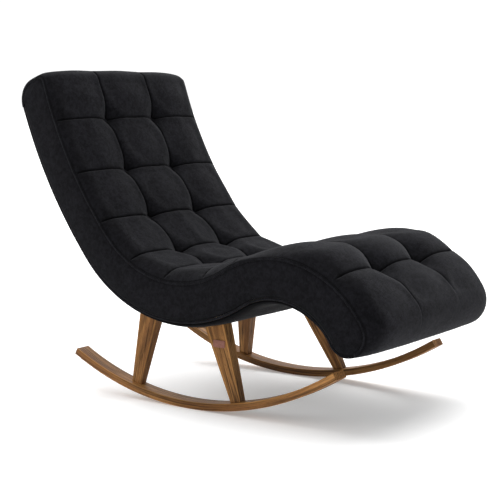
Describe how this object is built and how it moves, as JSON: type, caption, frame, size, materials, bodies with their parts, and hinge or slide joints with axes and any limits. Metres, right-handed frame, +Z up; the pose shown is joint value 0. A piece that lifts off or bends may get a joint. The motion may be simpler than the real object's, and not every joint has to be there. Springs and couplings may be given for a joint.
{
  "type": "rocking armchair",
  "caption": "Low rocking lounge chair: an S-shaped quilted seat without arms, curving from a high back over the knees, on tapered splayed legs and bent wooden rockers.",
  "frame": {"origin": "bottom centre of the whole chair, on the floor under the middle of its length", "axes": "+Z up, -Y the way the sitter faces, +X to the sitter's left; the rockers touch the floor 14 mm behind the origin"},
  "size_m": [0.603, 1.1676, 0.8981],
  "materials": {
    "walnut": "oiled walnut, satin",
    "frame_timber": "plain sawn timber and plywood",
    "webbing": "woven elastic webbing",
    "filling": "upholstery foam",
    "cover": "charcoal velvet, quilted and piped",
    "steel": "zinc-plated",
    "tag_leather": "plain undyed leather, worn"
  },
  "bodies": {
    "root": {"rocker_left": "walnut", "rocker_right": "walnut", "leg_front_left": "walnut", "leg_front_right": "walnut", "leg_rear_left": "walnut", "leg_rear_right": "walnut", "bearer_front": "walnut", "bearer_rear": "walnut", "rib_left": "frame_timber", "rib_right": "frame_timber", "head_rail": "frame_timber", "back_rail": "frame_timber", "lumbar_rail": "frame_timber", "knee_rail": "frame_timber", "foot_rail": "frame_timber", "block_front_left": "frame_timber", "block_front_right": "frame_timber", "block_rear_left": "frame_timber", "block_rear_right": "frame_timber", "webbing": "webbing", "foam_core": "filling", "calf_filling": "filling", "head_roll": "filling", "foot_roll": "filling", "quilted_pad": "cover", "border_left": "cover", "border_right": "cover", "back_cover": "cover", "piping_left": "cover", "piping_right": "cover", "lap_seam_left": "cover", "lap_seam_right": "cover", "leg_studs_left": "steel", "leg_studs_right": "steel", "sole_screws_left": "steel", "sole_screws_right": "steel", "rib_screws_left": "steel", "rib_screws_right": "steel", "leg_tag": "tag_leather"}
  },
  "joints": []
}
